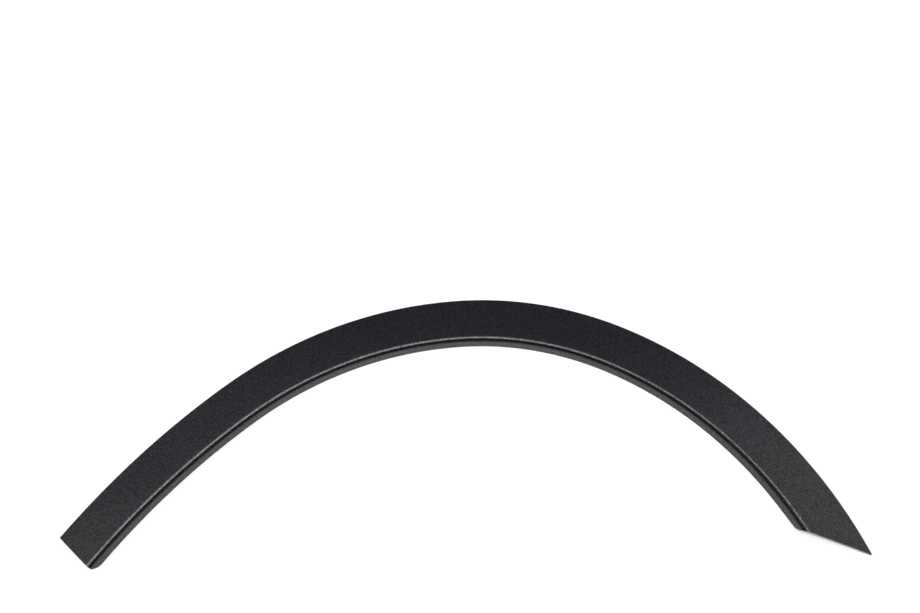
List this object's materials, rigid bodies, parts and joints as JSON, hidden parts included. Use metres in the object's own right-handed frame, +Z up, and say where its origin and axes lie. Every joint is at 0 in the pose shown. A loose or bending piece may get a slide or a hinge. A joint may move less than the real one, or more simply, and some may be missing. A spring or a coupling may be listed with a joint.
{
  "type": "wheel arch trim",
  "caption": "Curved black moulded edging strip for a wheel opening: sloping face, rounded bend, inward return lip, one squared and one pointed end.",
  "frame": {"origin": "middle of the box around the trim, in the plane that it rests on", "axes": "+X along the arch, from the squared end to the pointed end; +Y towards the crown of the arch; +Z up, out of the visible face"},
  "size_m": [0.697, 0.2478, 0.0105],
  "materials": {
    "grained_plastic": "fine-grained matt black, moulded in"
  },
  "bodies": {
    "root": {"arch_trim": "grained_plastic"}
  },
  "joints": []
}
